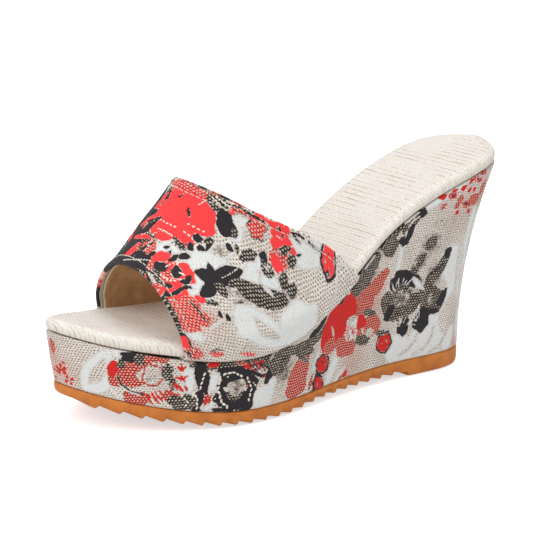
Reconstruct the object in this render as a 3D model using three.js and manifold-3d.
// Wedge sandal: a left-foot, open-toe, backless platform mule, as a bench-strippable assembly.
//
// Frame: millimetres, +Z up from the ground. The toe points to -Y and the heel to +Y, and +X is the
// outer (lateral) side of the foot. The origin is on the ground under the middle of the bounding box.
//
// From the ground up: a toothed rubber outsole, a filler sheet, a foam wedge core inside a printed
// fabric wrap, a second filler with a steel shank let into it, a fibre insole board, a foam pad and a
// woven cover that wraps over the board's edge. One broad band (outer fabric, interlining, lining,
// two edge tapes and two rows of thread) arches over the forefoot, and its turned-in margins are
// trapped between the insole and the wedge. A screw and four nails hold the insole board on the core,
// two rivets hold the shank, and four tacks hold the band's margins.

import * as THREE from "three";
import { mergeVertices } from "three/addons/utils/BufferGeometryUtils.js";
import Module from "manifold-3d";

// ---------------------------------------------------------------- driving dimensions
const LENGTH = 228; // level length of the insole, heel end to toe end
const BASE_HEEL_SETBACK = 20.6; // how far the wedge's foot stands in front of the insole's heel end
const BASE_TOE_SETBACK = 3.4;
const ORIGIN_X = -4.6; // brings the middle of the box to x = 0

// Half widths of the insole (TOP_*) and of the wedge's foot (BASE_*), outer and inner side, at equal
// steps of the angle t, where distance from the heel end = length * (1 - cos t) / 2.
const TOP_OUTER = [
  0, 7.32, 17.74, 25.6, 28.6, 29.1, 29.2, 30.2, 32.75, 36.83,
  41.9, 45.2, 44.14, 38.61, 30.95, 22.47, 14.35, 7.04, 0,
];
const TOP_INNER = [
  0, 7.49, 16.61, 23.77, 26.2, 25.7, 23.64, 21.48, 20.84, 23.1,
  29.0, 34.9, 35.86, 31.88, 25.93, 19.06, 11.97, 5.6, 0,
];
const BASE_OUTER = [
  0, 7.4, 17.6, 24.9, 27.9, 28.64, 29.29, 31.32, 34.98, 39.92,
  44.5, 46.2, 44.02, 38.16, 30.83, 22.79, 14.6, 7.0, 0,
];
const BASE_INNER = [
  0, 7.41, 16.8, 23.9, 25.6, 24.03, 21.61, 20.59, 21.62, 25.27,
  31.2, 35.6, 35.5, 31.67, 25.87, 19.16, 12.19, 5.7, 0,
];

// Height of the insole's top edge: [share of the length from the heel, z].
const RISE = [
  [0.0, 98.7], [0.08, 94.8], [0.16, 89.3], [0.25, 81.4], [0.35, 68.8], [0.45, 51.9],
  [0.55, 40.9], [0.65, 35.8], [0.75, 35.6], [0.85, 38.7], [0.93, 42.3], [1.0, 47.0],
];

// Layers, as depths below the insole's top edge height.
const COVER = 0.8; // underside of the woven cover, over the pad
const PAD_TOP = 1.15;
const PAD_BOTTOM = 3.3;
const BOARD_TOP = 3.5;
const BOARD_BOTTOM = 5.2;
const COVER_TURN_TOP = 5.35; // the cover's turn-in under the board
const COVER_TURN_BOTTOM = 6.1;
const FILLER_TOP = 5.5;
const SHANK_TOP = 5.5;
const MARGIN_BOTTOM = 7.3; // outer face of the band's margin
const WRAP_TOP = 7.6;
const WRAP_TOP_IN = 8.2;
const CORE_TOP = 8.5;

// Height the band's margins take, and the y ranges over which the layers below them close up.
const MARGIN_ROOM = 1.15;
const CLOSE_FRONT = [-94, -77];
const CLOSE_REAR = [24, 42];

// Layers, as heights above the outsole's top face.
const WRAP_LOW = 0.2;
const WRAP_LOW_IN = 0.85;
const SOLE_FILLER_TOP = 0.95;
const CORE_LOW = 1.15;

const WRAP = 1.0; // wall of the fabric wrap
const WRAP_TURN = 9.0; // how far the wrap turns in over and under the core

// ---------------------------------------------------------------- small maths
const { clamp } = THREE.MathUtils;

// Smooth step from 0 at `from` to 1 at `to`; `from` may be the greater.
function smooth(from, to, value) {
  const t = clamp((value - from) / (to - from), 0, 1);
  return t * t * (3 - 2 * t);
}

// Natural cubic spline through (xs, ys), straight beyond its ends.
function spline(xs, ys) {
  const n = xs.length;
  const second = new Array(n).fill(0); // second derivatives
  const upper = new Array(n).fill(0);
  const right = new Array(n).fill(0);
  for (let i = 1; i < n - 1; i++) {
    const before = xs[i] - xs[i - 1];
    const after = xs[i + 1] - xs[i];
    const bend = 6 * ((ys[i + 1] - ys[i]) / after - (ys[i] - ys[i - 1]) / before);
    const pivot = 2 * (before + after) - before * upper[i - 1];
    upper[i] = after / pivot;
    right[i] = (bend - before * right[i - 1]) / pivot;
  }
  for (let i = n - 2; i > 0; i--) second[i] = right[i] - upper[i] * second[i + 1];

  return (x) => {
    if (x < xs[0] || x > xs[n - 1]) {
      const low = x < xs[0];
      const end = low ? 0 : n - 1;
      const j = low ? 0 : n - 2;
      const step = xs[j + 1] - xs[j];
      const bend = low ? -(2 * second[0] + second[1]) : 2 * second[n - 1] + second[n - 2];
      const slope = (ys[j + 1] - ys[j]) / step + (bend * step) / 6;
      return ys[end] + slope * (x - xs[end]);
    }
    let i = 0;
    while (i < n - 2 && x > xs[i + 1]) i++;
    const step = xs[i + 1] - xs[i];
    const a = (xs[i + 1] - x) / step;
    const b = (x - xs[i]) / step;
    const cubic = (a * a * a - a) * second[i] + (b * b * b - b) * second[i + 1];
    return a * ys[i] + b * ys[i + 1] + (cubic * step * step) / 6;
  };
}

// ---------------------------------------------------------------- outlines and heights
const ANGLES = TOP_OUTER.map((_, i) => (Math.PI * i) / (TOP_OUTER.length - 1));
function halfWidth(table) {
  const width = spline(ANGLES, table);
  return (t) => Math.max(0, width(t));
}

const TOP = {
  heel: LENGTH / 2,
  toe: -LENGTH / 2,
  outer: halfWidth(TOP_OUTER),
  inner: halfWidth(TOP_INNER),
};
const BASE = {
  heel: LENGTH / 2 - BASE_HEEL_SETBACK,
  toe: -LENGTH / 2 + BASE_TOE_SETBACK,
  outer: halfWidth(BASE_OUTER),
  inner: halfWidth(BASE_INNER),
};

const rise = spline(RISE.map(([share]) => share), RISE.map(([, z]) => z));
const insoleZ = (y) => rise((TOP.heel - y) / LENGTH);

// A plan outline moved inwards by d (or outwards, d < 0). half(y, side) is its half width on the
// outer (side = 1) or inner (side = -1) side. at(u) walks it: u = 0 heel, 0.5 toe, 1 heel again,
// outer side first.
function outline(shape, d) {
  const samples = [];
  const SAMPLES = 1200;
  for (let i = 0; i <= SAMPLES; i++) {
    const t = (Math.PI * i) / SAMPLES;
    const y = shape.heel + ((shape.toe - shape.heel) * (1 - Math.cos(t))) / 2;
    samples.push([shape.outer(t), y, shape.inner(t)]);
  }
  const half = (y, side) => {
    if (d === 0) {
      const cosine = 1 - (2 * (shape.heel - y)) / (shape.heel - shape.toe);
      const t = Math.acos(clamp(cosine, -1, 1));
      return side > 0 ? shape.outer(t) : shape.inner(t);
    }
    // Nearest (or farthest) reach of circles of radius |d| along the sampled edge.
    let best = d > 0 ? Infinity : -Infinity;
    const radius = Math.abs(d);
    for (const [outer, sampleY, inner] of samples) {
      const dy = y - sampleY;
      if (Math.abs(dy) >= radius) continue;
      const reach = Math.sqrt(radius * radius - dy * dy);
      const x = side > 0 ? outer : inner;
      best = d > 0 ? Math.min(best, x - reach) : Math.max(best, x + reach);
    }
    return best;
  };

  // Bisects for the y where the two sides of an inset outline meet.
  const meeting = (start) => {
    let shut = start;
    let open = (shape.heel + shape.toe) / 2;
    for (let k = 0; k < 40; k++) {
      const middle = (shut + open) / 2;
      if (half(middle, 1) + half(middle, -1) > 0) open = middle;
      else shut = middle;
    }
    return open;
  };
  const heel = d > 0 ? meeting(shape.heel - 0.3 * d) : shape.heel - d;
  const toe = d > 0 ? meeting(shape.toe + 0.3 * d) : shape.toe + d;

  const at = (u) => {
    const side = u <= 0.5 ? 1 : -1;
    const t = Math.PI * 2 * (u <= 0.5 ? u : 1 - u);
    const atHeel = t < 1e-6;
    if (atHeel || t > Math.PI - 1e-6) {
      const near = atHeel ? heel - 1e-4 : toe + 1e-4;
      return [d > 0 ? (half(near, 1) - half(near, -1)) / 2 : 0, atHeel ? heel : toe];
    }
    const y = heel + ((toe - heel) * (1 - Math.cos(t))) / 2;
    return [side * half(clamp(y, toe + 1e-6, heel - 1e-6), side), y];
  };
  return { at, heel, toe, half };
}

// Outlines of one shape by inset, each built once.
function outlinesOf(shape) {
  const built = new Map();
  return (d) => {
    if (!built.has(d)) built.set(d, outline(shape, d));
    return built.get(d);
  };
}
const topLine = outlinesOf(TOP);
const baseLine = outlinesOf(BASE);

// Middle line of the insole, and the insole's upward normal on it.
const midX = (y) => (topLine(0).half(y, 1) - topLine(0).half(y, -1)) / 2;
function surfaceNormal(y) {
  const slope = (insoleZ(y + 1) - insoleZ(y - 1)) / 2;
  return new THREE.Vector3(0, -slope, 1).normalize();
}

// ---------------------------------------------------------------- mesh builders
function signedVolume(vertices, triangles) {
  let sum = 0;
  for (const [a, b, c] of triangles) {
    const [ax, ay, az] = vertices[a];
    const [bx, by, bz] = vertices[b];
    const [cx, cy, cz] = vertices[c];
    sum += ax * (by * cz - bz * cy) - ay * (bx * cz - bz * cx) + az * (bx * cy - by * cx);
  }
  return sum / 6;
}

// Geometry of a closed surface, turned to face out.
function closed(vertices, triangles) {
  const inverted = signedVolume(vertices, triangles) < 0;
  const facing = inverted ? triangles.map(([a, b, c]) => [a, c, b]) : triangles;
  const geo = new THREE.BufferGeometry();
  geo.setAttribute("position", new THREE.BufferAttribute(new Float32Array(vertices.flat()), 3));
  geo.setIndex(facing.flat());
  geo.computeVertexNormals();
  return geo;
}

// Walk positions round an outline: HALF steps down each side.
const HALF = 32;
const STEPS = Array.from({ length: 2 * HALF }, (_, k) => k / (2 * HALF));

// A solid from a stack of rings. Every ring holds 2 * HALF points, from the heel round by the outer
// side to the toe and back. The first and last rings are closed by strips across the foot.
function stack(rings) {
  const n = 2 * HALF;
  const triangles = [];
  for (let r = 0; r + 1 < rings.length; r++) {
    for (let k = 0; k < n; k++) {
      const a = r * n + k;
      const b = r * n + ((k + 1) % n);
      triangles.push([a, b, b + n], [a, b + n, a + n]);
    }
  }
  const cap = (base, flip) => {
    const push = (a, b, c) => triangles.push(flip ? [a, c, b] : [a, b, c]);
    for (let j = 0; j < HALF; j++) {
      const a = base + j;
      const b = a + 1;
      const c = base + ((n - j) % n);
      const d = base + (n - j - 1);
      if (a !== c) push(a, c, b);
      if (b !== d) push(b, c, d);
    }
  };
  cap(0, false);
  cap((rings.length - 1) * n, true);
  return closed(rings.flat(), triangles);
}

// Triangles that fill a flat loop, wound the way the loop runs.
function fillLoop(loop) {
  const points = loop.map(([x, y]) => new THREE.Vector2(x, y));
  const area = THREE.ShapeUtils.area(points);
  return THREE.ShapeUtils.triangulateShape(points, []).map(([a, b, c]) => {
    const [ax, ay] = loop[a];
    const [bx, by] = loop[b];
    const [cx, cy] = loop[c];
    const turn = (bx - ax) * (cy - ay) - (by - ay) * (cx - ax);
    return turn * area < 0 ? [a, c, b] : [a, b, c];
  });
}

// A closed loop of 3-D points carried along a path, one loop per section. The ends are closed by
// endShape, the loop drawn flat, or, for a thin strip whose second half runs back along the first,
// by quads across its thickness.
function sweep(sections, endShape) {
  const m = sections[0].length;
  const triangles = [];
  for (let i = 0; i + 1 < sections.length; i++) {
    for (let k = 0; k < m; k++) {
      const a = i * m + k;
      const b = i * m + ((k + 1) % m);
      const c = a + m;
      const d = b + m;
      // Both faces of a strip are split along the same diagonal.
      if (!endShape && k >= m / 2) triangles.push([a, b, c], [b, d, c]);
      else triangles.push([a, b, d], [a, d, c]);
    }
  }
  const ends = endShape ? fillLoop(endShape) : [];
  if (!endShape) {
    for (let k = 0; k + 1 < m / 2; k++) ends.push([k, k + 1, m - 2 - k], [k, m - 2 - k, m - 1 - k]);
  }
  const last = (sections.length - 1) * m;
  for (const [a, b, c] of ends) triangles.push([c, b, a], [last + a, last + b, last + c]);
  return closed(sections.flat(), triangles);
}

// Heights of the layers as functions of y.
const below = (depth) => (y) => insoleZ(y) - depth;
// Under the insole, layers below the band's margins close up beyond the band's front and rear.
function beneath(depth) {
  return (y) => {
    const room = smooth(...CLOSE_FRONT, y) * (1 - smooth(...CLOSE_REAR, y));
    return insoleZ(y) - depth + MARGIN_ROOM * (1 - room);
  };
}
const above = (height) => (y) => soleTopZ(y) + height;

function linePoint(line, u, heightAt) {
  const [x, y] = line.at(u);
  return [x, y, heightAt(y)];
}
const flatRing = (line, heightAt) => STEPS.map((u) => linePoint(line, u, heightAt));
const plate = (line, top, bottom) => stack([flatRing(line, bottom), flatRing(line, top)]);

// ---------------------------------------------------------------- booleans
const wasm = await Module();
wasm.setup();

function toSolid(geo) {
  for (const name of ["normal", "uv"]) geo.deleteAttribute(name);
  const merged = mergeVertices(geo, 1e-4);
  const mesh = new wasm.Mesh({
    numProp: 3,
    vertProperties: new Float32Array(merged.attributes.position.array),
    triVerts: new Uint32Array(merged.index.array),
  });
  return new wasm.Manifold(mesh);
}
function toGeometry(manifold) {
  const mesh = manifold.getMesh();
  const geo = new THREE.BufferGeometry();
  geo.setAttribute("position", new THREE.BufferAttribute(mesh.vertProperties.slice(), 3));
  geo.setIndex(new THREE.BufferAttribute(mesh.triVerts.slice(), 1));
  geo.computeVertexNormals();
  return geo;
}
function drill(geo, ...tools) {
  return toGeometry(tools.reduce((body, tool) => body.subtract(toSolid(tool)), toSolid(geo)));
}
function join(geo, ...more) {
  return toGeometry(more.reduce((body, part) => body.add(toSolid(part)), toSolid(geo)));
}

// ---------------------------------------------------------------- outsole
const SOLE_INSET = 0.6; // in from the wedge's foot
const SOLE_DRAFT = 0.5; // the sides lean in by this much at the ground
const SOLE_END_HALF = 0.6; // half width of the blunt heel and toe ends
const SOLE_HEEL_THICK = 7.8;
const SOLE_FRONT_THICK = 6.1;
const THIN_FROM = 0.2; // shares of the base length between which the rubber thins
const THIN_TO = 0.6;
const SPRING_FROM = 0.657; // share of the base length, from the heel, where the toe starts to lift
const SPRING_GAIN = 96;
const SPRING_POWER = 1.95;
const TOOTH_PITCH = 7.2;
const TOOTH_DEPTH = 2.0;
const TOOTH_FACE = 0.7; // length of a tooth's steep face
const HEEL_BLOCK_FRONT = 51; // y where the plain heel block ends and the tread starts
const WAIST_LIFT = 1.6; // the tread between ball and heel stands this far off the ground

const baseShare = (y) => (BASE.heel - y) / (BASE.heel - BASE.toe);
function groundZ(y) { // height of the tooth tips, before the waist's lift
  return SPRING_GAIN * Math.pow(Math.max(0, baseShare(y) - SPRING_FROM), SPRING_POWER);
}
function soleTopZ(y) {
  const thinning = (SOLE_FRONT_THICK - SOLE_HEEL_THICK) * smooth(THIN_FROM, THIN_TO, baseShare(y));
  return groundZ(y) + SOLE_HEEL_THICK + thinning;
}
function waistLift(y) {
  const heelRamp = smooth(HEEL_BLOCK_FRONT + 2, HEEL_BLOCK_FRONT - 4, y);
  return WAIST_LIFT * heelRamp * (1 - smooth(0, -26, y));
}

// Height of the tread's cut at y: 0 at each tip, deepest just behind it, running out to the next.
function toothCut(y, tips) {
  if (y > HEEL_BLOCK_FRONT) return 0;
  const lastTip = tips[tips.length - 1];
  if (y < lastTip - 0.01) return TOOTH_DEPTH * 0.9 * smooth(lastTip, lastTip - 5, y);
  const tip = tips.find((candidate) => y >= candidate - 1e-6) ?? lastTip;
  if (Math.abs(y - tip) < 1e-6) return 0;
  return TOOTH_DEPTH * (1 - clamp((y - tip - TOOTH_FACE) / (TOOTH_PITCH - TOOTH_FACE), 0, 1));
}

function outsole() {
  const line = baseLine(SOLE_INSET);
  // Stations along the sole: close together at the rounded ends, and a pair at every tooth.
  const stations = new Set();
  for (let j = 0; j <= 60; j++) {
    const y = line.heel - ((line.heel - line.toe) * (1 - Math.cos((Math.PI * j) / 60))) / 2;
    if (j < 14 || j > 48) stations.add(y);
  }
  const tips = [];
  for (let y = HEEL_BLOCK_FRONT - 1.5; y > line.toe + 5; y -= TOOTH_PITCH) tips.push(y);
  for (const y of tips) {
    stations.add(y);
    stations.add(y + TOOTH_FACE);
  }
  stations.add(HEEL_BLOCK_FRONT + 4);
  const ys = [...stations]
    .sort((a, b) => b - a)
    .filter((y, i, all) => i === 0 || all[i - 1] - y > 0.25);

  const sections = ys.map((y, i) => {
    const bottom = groundZ(y) + waistLift(y) + toothCut(y, tips);
    const top = soleTopZ(y);
    const end = i === 0 || i === ys.length - 1;
    const outer = end ? SOLE_END_HALF : line.half(y, 1);
    const inner = end ? SOLE_END_HALF : line.half(y, -1);
    return [
      [outer, y, top],
      [outer - SOLE_DRAFT, y, bottom],
      [-inner + SOLE_DRAFT, y, bottom],
      [-inner, y, top],
    ];
  });
  return sweep(sections, [[1, 1], [1, 0], [0, 0], [0, 1]]);
}

// ---------------------------------------------------------------- wedge core and its wrap
const WALL_LEVELS = [0, 0.22, 0.45, 0.7, 1]; // shares of the side wall's height
const HEEL_SWEEP = [20, 85]; // y range over which the wall's curve grows towards the heel
const WAIST_HOLLOW = 1.3;
const WAIST_FRONT = [-35, 10]; // y ranges over which the hollow comes in and dies out
const WAIST_REAR = [45, 80];
const CORE_CLEARANCE = 0.3; // between core and wrap
const SEAM_U = 0.79; // butt joint of the wrap, at the inner waist
const SEAM_HALF_GAP = 0.001052632; // half the joint's opening, as a share of the walk
const WRAP_STEPS = 76;

// The side wall, inset by d, at share v of its height: the heel sweeps back in a hollow curve and
// the waist is slightly hollow.
function wallPoint(u, v, d, lowAt, highAt) {
  const [baseX, baseY] = baseLine(d).at(u);
  const [topX, topY] = topLine(d).at(u);
  const blend = Math.pow(v, 1 + smooth(...HEEL_SWEEP, topY));
  const waist = smooth(...WAIST_FRONT, topY) * (1 - smooth(...WAIST_REAR, topY));
  const hollow = WAIST_HOLLOW * waist * 4 * v * (1 - v) * (u < 0.5 ? 1 : -1);
  const low = lowAt(baseY);
  return [
    baseX + (topX - baseX) * blend - hollow,
    baseY + (topY - baseY) * blend,
    low + (highAt(topY) - low) * v,
  ];
}

function wedgeCore() {
  const inset = WRAP + CORE_CLEARANCE;
  return stack(WALL_LEVELS.map((v) =>
    STEPS.map((u) => wallPoint(u, v, inset, above(CORE_LOW), beneath(CORE_TOP)))));
}

function wedgeWrap() {
  const sectionAt = (u) => {
    const wall = (v, d, low, high) => wallPoint(u, v, d, above(low), beneath(high));
    return [
      linePoint(baseLine(WRAP_TURN), u, above(WRAP_LOW)),
      ...WALL_LEVELS.map((v) => wall(v, 0, WRAP_LOW, WRAP_TOP)),
      linePoint(topLine(WRAP_TURN), u, beneath(WRAP_TOP)),
      linePoint(topLine(WRAP_TURN), u, beneath(WRAP_TOP_IN)),
      ...[...WALL_LEVELS].reverse().map((v) => wall(v, WRAP, WRAP_LOW_IN, WRAP_TOP_IN)),
      linePoint(baseLine(WRAP_TURN), u, above(WRAP_LOW_IN)),
    ];
  };
  // Walk from one edge of the butt joint right round to the other.
  const sections = [];
  for (let k = 0; k <= WRAP_STEPS; k++) {
    const u = SEAM_U + SEAM_HALF_GAP + ((1 - 2 * SEAM_HALF_GAP) * k) / WRAP_STEPS;
    sections.push(sectionAt(u >= 1 ? u - 1 : u));
  }
  return sweep(sections);
}

// ---------------------------------------------------------------- insole cover
// Rings as [inset, depth]: over the top, round the edge, down the side, turned in under the board,
// then back along the inner face.
const COVER_RINGS = [
  [2.6, 0], [0.7, 0.45], [0, 1.8], [0, 4.6], [0.35, 5.6], [1.2, COVER_TURN_BOTTOM],
  [11, COVER_TURN_BOTTOM], [11, COVER_TURN_TOP],
  [1.7, COVER_TURN_TOP], [0.95, 4.7], [0.9, 2.0], [2.6, COVER],
];
const insoleCover = () =>
  stack(COVER_RINGS.map(([inset, depth]) => flatRing(topLine(inset), below(depth))));

// ---------------------------------------------------------------- band: surface
// Front and rear edges of the band's outer face, [x, y, z] over the foot from outer to inner side.
const BAND_FRONT = [
  [40.9, -73.2, 32.0], [39.2, -74.7, 41.2], [35.6, -75.9, 48.9], [29.93, -76.9, 55.4],
  [22.48, -77.5, 60.4], [13.31, -78.0, 63.6], [2.46, -77.8, 64.5], [-8.09, -76.9, 62.9],
  [-16.81, -75.6, 59.2], [-24.5, -74.0, 54.3], [-30.6, -72.4, 48.2], [-34.6, -70.7, 40.9],
  [-35.6, -69.3, 31.7],
];
const BAND_REAR = [
  [35.1, 17.8, 50.5], [34.2, 3.6, 64.7], [31.5, -13.7, 75.3], [27.4, -30.0, 83.9],
  [21.9, -43.0, 90.6], [15.1, -51.2, 95.1], [6.2, -53.7, 97.3], [-2.7, -50.4, 96.5],
  [-9.8, -41.6, 93.0], [-15.5, -28.1, 86.9], [-19.9, -11.5, 78.4], [-22.6, 5.8, 67.3],
  [-23.4, 20.0, 52.1],
];
const BAND_STANDOFF = 2.4; // outer face of the band from the insole's edge
const BAND_MARGIN = 10; // lasting margin under the insole
// The margin and the bend up from it: [inset from the insole's edge, rise over the margin].
const MARGIN_PATH = [
  [BAND_MARGIN, 0], [5.5, 0], [1.4, 0], [-0.6, 0.1], [-1.8, 0.9], [-BAND_STANDOFF, 2.1],
];
const ARCH_STEPS = 28;
const ARCH_FULLNESS = 4.8;
const ARCH_AXIS = { x: 4, z: 38 }; // the fullness swells away from this line
const FOOT_BLEND = 0.42; // share of the arch over which each foot is drawn onto the outline
// Every layer uses the same lines from front to rear: one at each edge, two close behind it where
// the folded fabric ends, and an even spread between.
const NEAR_EDGE = [0, 5.7, 8.3];
const SPREAD_LINES = 5;

function curveThrough(points) {
  const steps = points.map((_, i) => i / (points.length - 1));
  const [x, y, z] = [0, 1, 2].map((axis) => spline(steps, points.map((p) => p[axis])));
  return (v) => new THREE.Vector3(x(v), y(v), z(v));
}
const frontCurve = curveThrough(BAND_FRONT);
const rearCurve = curveThrough(BAND_REAR);

// A line front to rear (w = 0 to 1) beside or under the insole's edge, for one MARGIN_PATH entry.
function marginLine(side, [inset, lift]) {
  const foot = side > 0 ? 0 : BAND_FRONT.length - 1;
  const front = BAND_FRONT[foot][1];
  const rear = BAND_REAR[foot][1];
  return (w) => {
    const y = front + (rear - front) * w;
    const z = insoleZ(y) - (MARGIN_BOTTOM - lift);
    return new THREE.Vector3(side * topLine(inset).half(y, side), y, z);
  };
}

// A line front to rear at share v of the arch, ruled between the edge curves and drawn onto the
// insole's outline at both feet.
function archLine(v) {
  const front = frontCurve(v);
  const rear = rearCurve(v);
  const feet = [[1, 0, v], [-1, 1, 1 - v]].map(([side, end, distance]) => ({
    line: marginLine(side, MARGIN_PATH.at(-1)),
    end,
    pull: 1 - smooth(0, FOOT_BLEND, distance),
  }));
  const fullness = ARCH_FULLNESS * smooth(0, 0.5, Math.sin(Math.PI * v));
  return (w) => {
    const p = front.clone().lerp(rear, w);
    for (const { line, end, pull } of feet) {
      p.addScaledVector(line(w).sub(frontCurve(end).lerp(rearCurve(end), w)), pull);
    }
    const out = new THREE.Vector3(p.x - ARCH_AXIS.x, 0, p.z - ARCH_AXIS.z).normalize();
    p.addScaledVector(out, fullness * w * (1 - w));
    // Upright beside the insole's edge, then leaning in.
    if (v < 0.3 || v > 0.7) {
      const side = v < 0.5 ? 1 : -1;
      const short = topLine(-BAND_STANDOFF).half(p.y, side) - side * p.x;
      const edgeZ = insoleZ(p.y);
      p.x += side * Math.max(0, short) * (1 - smooth(edgeZ + 0.8, edgeZ + 9, p.z));
    }
    return p;
  };
}

// Shares across the band at which a line front to rear is divided.
function dividedShares(line) {
  let length = 0;
  for (let k = 1; k <= 40; k++) length += line(k / 40).distanceTo(line((k - 1) / 40));
  const near = NEAR_EDGE.map((s) => s / length);
  const last = near[near.length - 1];
  const spread = Array.from(
    { length: SPREAD_LINES },
    (_, k) => last + ((1 - 2 * last) * (k + 1)) / (SPREAD_LINES + 1),
  );
  return [...near, ...spread, ...near.map((s) => 1 - s).reverse()];
}

// Rows of the band's outer face, from the outer margin over the arch to the inner margin. Each runs
// front to rear. `fromEnd` counts rows from the nearer margin edge, `margin` is 1 in the margin and
// 0 in the wall, and normals point away from the foot.
function bandRows() {
  const lines = MARGIN_PATH.map((step) => marginLine(1, step));
  for (let i = 1; i < ARCH_STEPS; i++) lines.push(archLine(i / ARCH_STEPS));
  lines.push(...[...MARGIN_PATH].reverse().map((step) => marginLine(-1, step)));

  const last = lines.length - 1;
  const rows = lines.map((line, i) => {
    const shares = dividedShares(line);
    const points = shares.map((w) => line(w));
    const fromEnd = Math.min(i, last - i);
    let width = 0;
    for (let k = 1; k < points.length; k++) width += points[k - 1].distanceTo(points[k]);
    return { shares, points, width, fromEnd, margin: 1 - smooth(1.5, 5.5, fromEnd) };
  });
  rows.forEach((row, i) => {
    const before = rows[Math.max(0, i - 1)].points;
    const after = rows[Math.min(last, i + 1)].points;
    row.normals = row.points.map((_, k) => {
      const along = after[k].clone().sub(before[k]);
      const next = row.points[Math.min(row.points.length - 1, k + 1)];
      const over = next.clone().sub(row.points[Math.max(0, k - 1)]);
      return new THREE.Vector3().crossVectors(over, along).normalize();
    });
  });
  return rows;
}
const BAND_ROWS = bandRows();

// Point and normal at share w across a row.
function rowAt({ shares, points, normals }, w) {
  let k = 0;
  while (k < shares.length - 2 && w > shares[k + 1]) k++;
  const t = clamp((w - shares[k]) / (shares[k + 1] - shares[k]), 0, 1);
  return {
    point: points[k].clone().lerp(points[k + 1], t),
    normal: normals[k].clone().lerp(normals[k + 1], t).normalize(),
  };
}

// ---------------------------------------------------------------- band: layers
const BAND_OUTER = 0.7; // thickness of the fabric
const BAND_INTER = 0.3; // interlining
const BAND_LINING = 0.5;
const PLY_GAP = 0.17; // between fabric, interlining and lining
const MARGIN_OUTER = 0.45; // fabric pressed thinner in the margin
const MARGIN_LINING_DEPTH = 0.6;
const MARGIN_LINING = 0.3;
const LINING_EDGE = 1.6; // the lining stops this far short of the band's edges

const FOLD_FROM = 8; // rows left out at each foot, so the folded edge starts above the insole
const FOLD = 5.0; // fabric folded back at the band's front and rear edges
const FOLD_R = 0.98; // outer radius of the fold
const FOLD_PLY = BAND_OUTER - 0.1; // thickness of the folded fabric
const FOLD_SINK = 0.02; // the fold starts this far below the fabric's face

const TAPE_DEPTH = 0.83;
const TAPE = 0.25; // thickness of the edge tape
const TAPE_LINES = [0.8, 2.6, 4.4]; // distances from the band's edge
const THREAD = 0.35; // thread diameter
const THREAD_SIDES = 5;
const THREAD_IN = 3.2; // from the band's edge
const THREAD_PROUD = 0.12;

const rowsWithout = (skip) => BAND_ROWS.slice(skip, BAND_ROWS.length - skip);
const fromEdge = (share, rear) => (rear ? 1 - share : share);

// A sheet between two depths below the outer face, leaving out `skip` rows at each foot. Shares are
// given by row, and depths by row and share.
function sheet(skip, sharesOf, top, bottom) {
  return sweep(rowsWithout(skip).map((row) => {
    // Margin thicknesses are measured straight up, like the layers they lie between.
    const place = (w, depth) => {
      const { point, normal } = rowAt(row, w);
      const upright = 1 - row.margin * (1 - Math.abs(normal.z));
      return point.addScaledVector(normal, -depth * upright).toArray();
    };
    const shares = sharesOf(row);
    return [
      ...shares.map((w) => place(w, top(row, w))),
      ...[...shares].reverse().map((w) => place(w, bottom(row, w))),
    ];
  }));
}

// Section of a folded-back edge as [distance in from the band's edge, depth].
function foldSection(sink) {
  const arc = (angles, start, radius, depth) => angles.map((degrees) => {
    const angle = (degrees * Math.PI) / 180;
    return [start - radius * Math.sin(angle), depth - radius * Math.cos(angle)];
  });
  const innerDepth = 2 * FOLD_R - FOLD_PLY;
  return [
    [1.6, sink],
    [0.3, sink],
    ...arc([45, 90, 135], 0.3, FOLD_R, sink + FOLD_R),
    [0.5, 2 * FOLD_R],
    [FOLD, 2 * FOLD_R],
    [FOLD, innerDepth],
    [0.6, innerDepth],
    ...arc([135, 60], 0.4, FOLD_R - FOLD_PLY, 0.1 + FOLD_R),
    [0.6, FOLD_PLY],
    [1.6, FOLD_PLY],
  ];
}

function foldedEdge(rear) {
  const sections = rowsWithout(FOLD_FROM).map((row) =>
    foldSection(FOLD_SINK).map(([distance, depth]) => {
      const { point, normal } = rowAt(row, fromEdge(distance / row.width, rear));
      if (distance < 0) { // carry on straight past the edge
        const inboard = rowAt(row, fromEdge(0.02, rear)).point;
        point.addScaledVector(point.clone().sub(inboard).normalize(), -distance);
      }
      return point.addScaledVector(normal, -depth).toArray();
    }));
  return sweep(sections, foldSection(0).map(([distance, depth]) => [distance, -depth]));
}

function bandOuter() {
  const thickness = (row) => BAND_OUTER - (BAND_OUTER - MARGIN_OUTER) * row.margin;
  const body = sheet(0, (row) => row.shares, () => 0, thickness);
  return join(body, foldedEdge(false), foldedEdge(true));
}

function bandInterlining() {
  const top = BAND_OUTER + PLY_GAP;
  const shares = (row) => row.shares.slice(1, -1);
  return sheet(FOLD_FROM - 1, shares, () => top, () => top + BAND_INTER);
}

// The lining dips under the folded edges.
function bandLining() {
  const shares = ({ width, shares: all }) =>
    [LINING_EDGE / width, ...all.slice(1, -1), 1 - LINING_EDGE / width];
  const wall = BAND_OUTER + BAND_INTER + 2 * PLY_GAP;
  const underFold = 2 * FOLD_R + 0.12;
  const top = ({ width, fromEnd, margin }, w) => {
    const distance = Math.min(w, 1 - w) * width;
    const dip = (1 - smooth(NEAR_EDGE[1] + 0.1, NEAR_EDGE[2] - 0.1, distance)) *
      smooth(FOLD_FROM - 2.2, FOLD_FROM - 0.6, fromEnd);
    return (wall + (underFold - wall) * dip) * (1 - margin) + MARGIN_LINING_DEPTH * margin;
  };
  const bottom = (row, w) =>
    top(row, w) + BAND_LINING - (BAND_LINING - MARGIN_LINING) * row.margin;
  return sheet(0, shares, top, bottom);
}

function edgeTape(rear) {
  const shares = (row) => TAPE_LINES.map((s) => fromEdge(s / row.width, rear));
  return sheet(FOLD_FROM, shares, () => TAPE_DEPTH, () => TAPE_DEPTH + TAPE);
}

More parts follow.
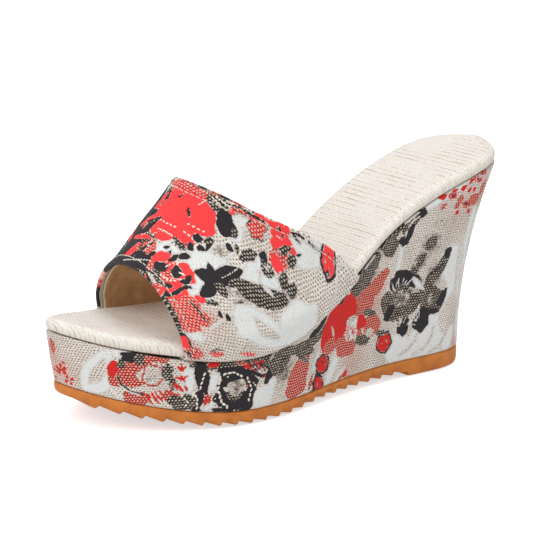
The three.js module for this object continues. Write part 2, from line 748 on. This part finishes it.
// A run of thread lying along the folded edge, proud of the fabric.
function threadLine(rear) {
  const radius = THREAD / 2;
  const circle = Array.from({ length: THREAD_SIDES }, (_, k) => {
    const angle = (2 * Math.PI * k) / THREAD_SIDES;
    return [Math.cos(angle), Math.sin(angle)];
  });
  const sections = rowsWithout(FOLD_FROM).map((row) => {
    const { point, normal } = rowAt(row, fromEdge(THREAD_IN / row.width, rear));
    const edge = rowAt(row, fromEdge(0, rear)).point;
    const inward = rowAt(row, fromEdge(0.1, rear)).point.sub(edge).normalize();
    point.addScaledVector(normal, radius + THREAD_PROUD);
    return circle.map(([s, t]) => point.clone()
      .addScaledVector(inward, s * radius)
      .addScaledVector(normal, t * radius)
      .toArray());
  });
  return sweep(sections, circle);
}

// ---------------------------------------------------------------- shank strip
const SHANK_FROM = 72; // y of the shank's rear and front ends
const SHANK_TO = -26;
const SHANK_WIDE = 10;
const SHANK_THICK = 1.4;
const SHANK_RIB = 0.7; // depth of the rib along the underside
const SHANK_STEPS = 22;
const STRIP_END = [[5, 1], [5, 0], [1.6, 0], [1, -0.4], [-1, -0.4], [-1.6, 0], [-5, 0], [-5, 1]];

// A strip on the insole's middle line between two depths, longer than the shank by `extra` at each
// end, with rounded ends and an optional rib below.
function shankStrip({ extra = 0, wide, top, bottom, rib = 0 }) {
  const from = SHANK_FROM + extra;
  const to = SHANK_TO - extra;
  const sections = [];
  for (let i = 0; i <= SHANK_STEPS; i++) {
    const share = i / SHANK_STEPS;
    const y = from + ((to - from) * i) / SHANK_STEPS;
    const x = midX(y);
    const taper = Math.sqrt(clamp(1 - Math.pow(Math.abs(share - 0.5) * 2, 16), 0.12, 1));
    const half = (wide / 2) * taper;
    const topZ = insoleZ(y) - top;
    const bottomZ = insoleZ(y) - bottom;
    const ribZ = bottomZ - rib * smooth(0, 0.12, share) * smooth(0, 0.12, 1 - share);
    sections.push([
      [x + half, y, topZ], [x + half, y, bottomZ], [x + 1.6, y, bottomZ], [x + 1, y, ribZ],
      [x - 1, y, ribZ], [x - 1.6, y, bottomZ], [x - half, y, bottomZ], [x - half, y, topZ],
    ]);
  }
  return sweep(sections, STRIP_END);
}

// ---------------------------------------------------------------- fasteners and their holes
const SCREW_R = 2.0;
const SCREW_HEAD_R = 4.2;
const SCREW_LONG = 22;
const NAIL_R = 0.9;
const NAIL_HEAD_R = 2.3;
const NAIL_LONG = 12;
const RIVET_R = 1.4;
const RIVET_HEAD_R = 3.0;
const TACK_R = 0.7;
const TACK_INSET = 7; // from the insole's edge
const HOLE_CLEARANCE = 0.15; // on the radius
const HOLE_SIDES = 14;

// Places on the insole, [x, y].
const SCREW = [midX(84), 84];
const NAILS = [[8.5, 96], [-8.5, 96], [13, 70], [-13, 70]].map(([dx, y]) => [midX(y) + dx, y]);
const RIVETS = [64, -18].map((y) => [midX(y), y]);
const TACKS = [[1, -52], [1, -6], [-1, -50], [-1, 0]] // [side, y]
  .map(([side, y]) => [side * topLine(TACK_INSET).half(y, side), y]);

// Heights, from the insole's top edge height.
const HEAD_SEAT = -BOARD_TOP + 0.35; // underside of the heads
const SCREW_TIP = -BOARD_BOTTOM - SCREW_LONG;
const NAIL_TIP = -BOARD_BOTTOM - NAIL_LONG;
const RIVET_FOOT = -(SHANK_TOP + SHANK_THICK + SHANK_RIB) - 0.35;

// A turned part or tool standing square to the insole. Its profile is [radius, height]; heights are
// measured straight up, like the layers, so they shorten with the slope.
function seated(profile, [x, y], segments) {
  const normal = surfaceNormal(y);
  const points = profile.map(([r, height]) => new THREE.Vector2(r, height * normal.z));
  const geo = new THREE.LatheGeometry(points, segments);
  const up = new THREE.Vector3(0, 1, 0);
  geo.applyQuaternion(new THREE.Quaternion().setFromUnitVectors(up, normal));
  geo.translate(x, y, insoleZ(y));
  return geo;
}
function holes(spots, r, from, to) {
  const profile = [[0, from], [r, from], [r, to], [0, to]];
  return spots.map((spot) => seated(profile, spot, HOLE_SIDES));
}
const heelHoles = () => [
  ...holes([SCREW], SCREW_R + HOLE_CLEARANCE, SCREW_TIP - 0.6, 1),
  ...holes(NAILS, NAIL_R + HOLE_CLEARANCE, NAIL_TIP - 0.6, 1),
];
const rivetHoles = () => holes(RIVETS, RIVET_R + HOLE_CLEARANCE, -9.2, 1);
const tackHoles = (from, to) => holes(TACKS, TACK_R + HOLE_CLEARANCE, from, to);

const SCREW_PROFILE = [
  [0, SCREW_TIP], [0.4, SCREW_TIP + 0.6], [SCREW_R, SCREW_TIP + 5], [SCREW_R, HEAD_SEAT],
  [SCREW_HEAD_R, HEAD_SEAT], [SCREW_HEAD_R - 0.2, HEAD_SEAT + 0.7],
  [2.6, HEAD_SEAT + 1.1], [0, HEAD_SEAT + 1.2],
];
const NAIL_PROFILE = [
  [0, NAIL_TIP], [NAIL_R, NAIL_TIP + 3], [NAIL_R, HEAD_SEAT],
  [NAIL_HEAD_R, HEAD_SEAT], [NAIL_HEAD_R - 0.1, HEAD_SEAT + 0.7], [0, HEAD_SEAT + 0.8],
];
const RIVET_PROFILE = [
  [0, RIVET_FOOT - 0.8], [RIVET_HEAD_R - 0.2, RIVET_FOOT - 0.6], [RIVET_HEAD_R, RIVET_FOOT],
  [RIVET_R, RIVET_FOOT], [RIVET_R, HEAD_SEAT],
  [RIVET_HEAD_R, HEAD_SEAT], [RIVET_HEAD_R - 0.2, HEAD_SEAT + 0.6], [0, HEAD_SEAT + 0.8],
];
const TACK_PROFILE = [[0, -7.15], [TACK_R, -7.15], [TACK_R, -5.4], [0, -3.9]];

// ---------------------------------------------------------------- drilled parts
const FILLER_INSET = 0.6; // gap between the sole filler and the wrap's turn-in

function drilledCore() {
  return drill(
    wedgeCore(),
    ...heelHoles(),
    ...holes(RIVETS, 4.2, -9.4, 0), // room for the rivets' lower heads
    shankStrip({ extra: 1.5, wide: 5.2, top: 6.2, bottom: 8.1 }), // groove for the shank's rib
  );
}

// Filler between the margins, with a slot for the shank.
function seatFiller() {
  const sheetBody = plate(topLine(11.6), below(FILLER_TOP), beneath(CORE_TOP - 0.25));
  const slot = shankStrip({ extra: 1.2, wide: SHANK_WIDE + 1.4, top: 4.6, bottom: 8.6 });
  return drill(sheetBody, slot, ...heelHoles());
}

function shank() {
  const bottom = SHANK_TOP + SHANK_THICK;
  const bar = shankStrip({ wide: SHANK_WIDE, top: SHANK_TOP, bottom, rib: SHANK_RIB });
  return drill(bar, ...rivetHoles());
}

function insoleBoard() {
  const board = plate(topLine(1.85), below(BOARD_TOP), below(BOARD_BOTTOM));
  return drill(board, ...heelHoles(), ...rivetHoles(), ...tackHoles(-7.3, -BOARD_TOP + 1));
}

// The pad is open round every head.
function insolePad() {
  const from = -BOARD_TOP - 0.5;
  return drill(
    plate(topLine(2.6), below(PAD_TOP), below(PAD_BOTTOM)),
    ...holes([SCREW], SCREW_HEAD_R + 0.3, from, -1.6),
    ...holes(NAILS, NAIL_HEAD_R + 0.25, from, -2.2),
    ...holes(RIVETS, RIVET_HEAD_R + 0.2, from, -2.0),
  );
}

// ---------------------------------------------------------------- materials
const paint = (settings) => new THREE.MeshStandardMaterial(settings);
const RUBBER = paint({ color: 0xc7762f, roughness: 0.55 });
const CORE = paint({ color: 0xd8d3c6, roughness: 0.9 });
const PRINT = paint({ color: 0xcfc4ba, roughness: 0.75 });
const STRAW = paint({ color: 0xe9dfcd, roughness: 0.8 });
const FIBRE = paint({ color: 0x9c7b55, roughness: 0.9 });
const STEEL = paint({ color: 0x8e9196, roughness: 0.35, metalness: 1 });
const PAD = paint({ color: 0xd9c7a4, roughness: 0.95 });
const TAN = paint({ color: 0xb98f62, roughness: 0.6 });
const WHITE = paint({ color: 0xeeeae0, roughness: 0.85 });
const INTER = paint({ color: 0xd9d6cf, roughness: 0.95 });
const ZINC = paint({ color: 0xb0a060, roughness: 0.35, metalness: 1 });

// ---------------------------------------------------------------- assembly
export const sandal = new THREE.Group();
sandal.position.set(ORIGIN_X, 0, 0);

function add(name, geo, material) {
  const mesh = new THREE.Mesh(geo, material);
  mesh.name = name;
  sandal.add(mesh);
}
function addEach(name, spots, profile, segments) {
  spots.forEach((spot, i) => add(`${name}_${i + 1}`, seated(profile, spot, segments), STEEL));
}

// Sole and wedge.
const soleFillerLine = baseLine(WRAP_TURN + FILLER_INSET);
add("outsole", outsole(), RUBBER);
add("sole_filler", plate(soleFillerLine, above(SOLE_FILLER_TOP), above(WRAP_LOW)), FIBRE);
add("wedge_core", drilledCore(), CORE);
add("wedge_wrap", wedgeWrap(), PRINT);
add("seat_filler", seatFiller(), FIBRE);
add("shank", shank(), STEEL);

// Insole.
add("insole_board", insoleBoard(), FIBRE);
add("insole_pad", insolePad(), PAD);
add("insole_cover", drill(insoleCover(), ...tackHoles(-6.6, -4.9)), STRAW);

// Band.
add("band_outer", drill(bandOuter(), ...tackHoles(-7.6, -5.9)), PRINT);
add("band_interlining", bandInterlining(), INTER);
add("band_lining", drill(bandLining(), ...tackHoles(-7.6, -5.9)), TAN);
add("front_edge_tape", edgeTape(false), WHITE);
add("rear_edge_tape", edgeTape(true), WHITE);
add("front_edge_thread", threadLine(false), WHITE);
add("rear_edge_thread", threadLine(true), WHITE);

// Fasteners.
add("heel_screw", seated(SCREW_PROFILE, SCREW, 16), ZINC);
addEach("heel_nail", NAILS, NAIL_PROFILE, 14);
addEach("shank_rivet", RIVETS, RIVET_PROFILE, 16);
addEach("margin_tack", TACKS, TACK_PROFILE, 10);

export default sandal;
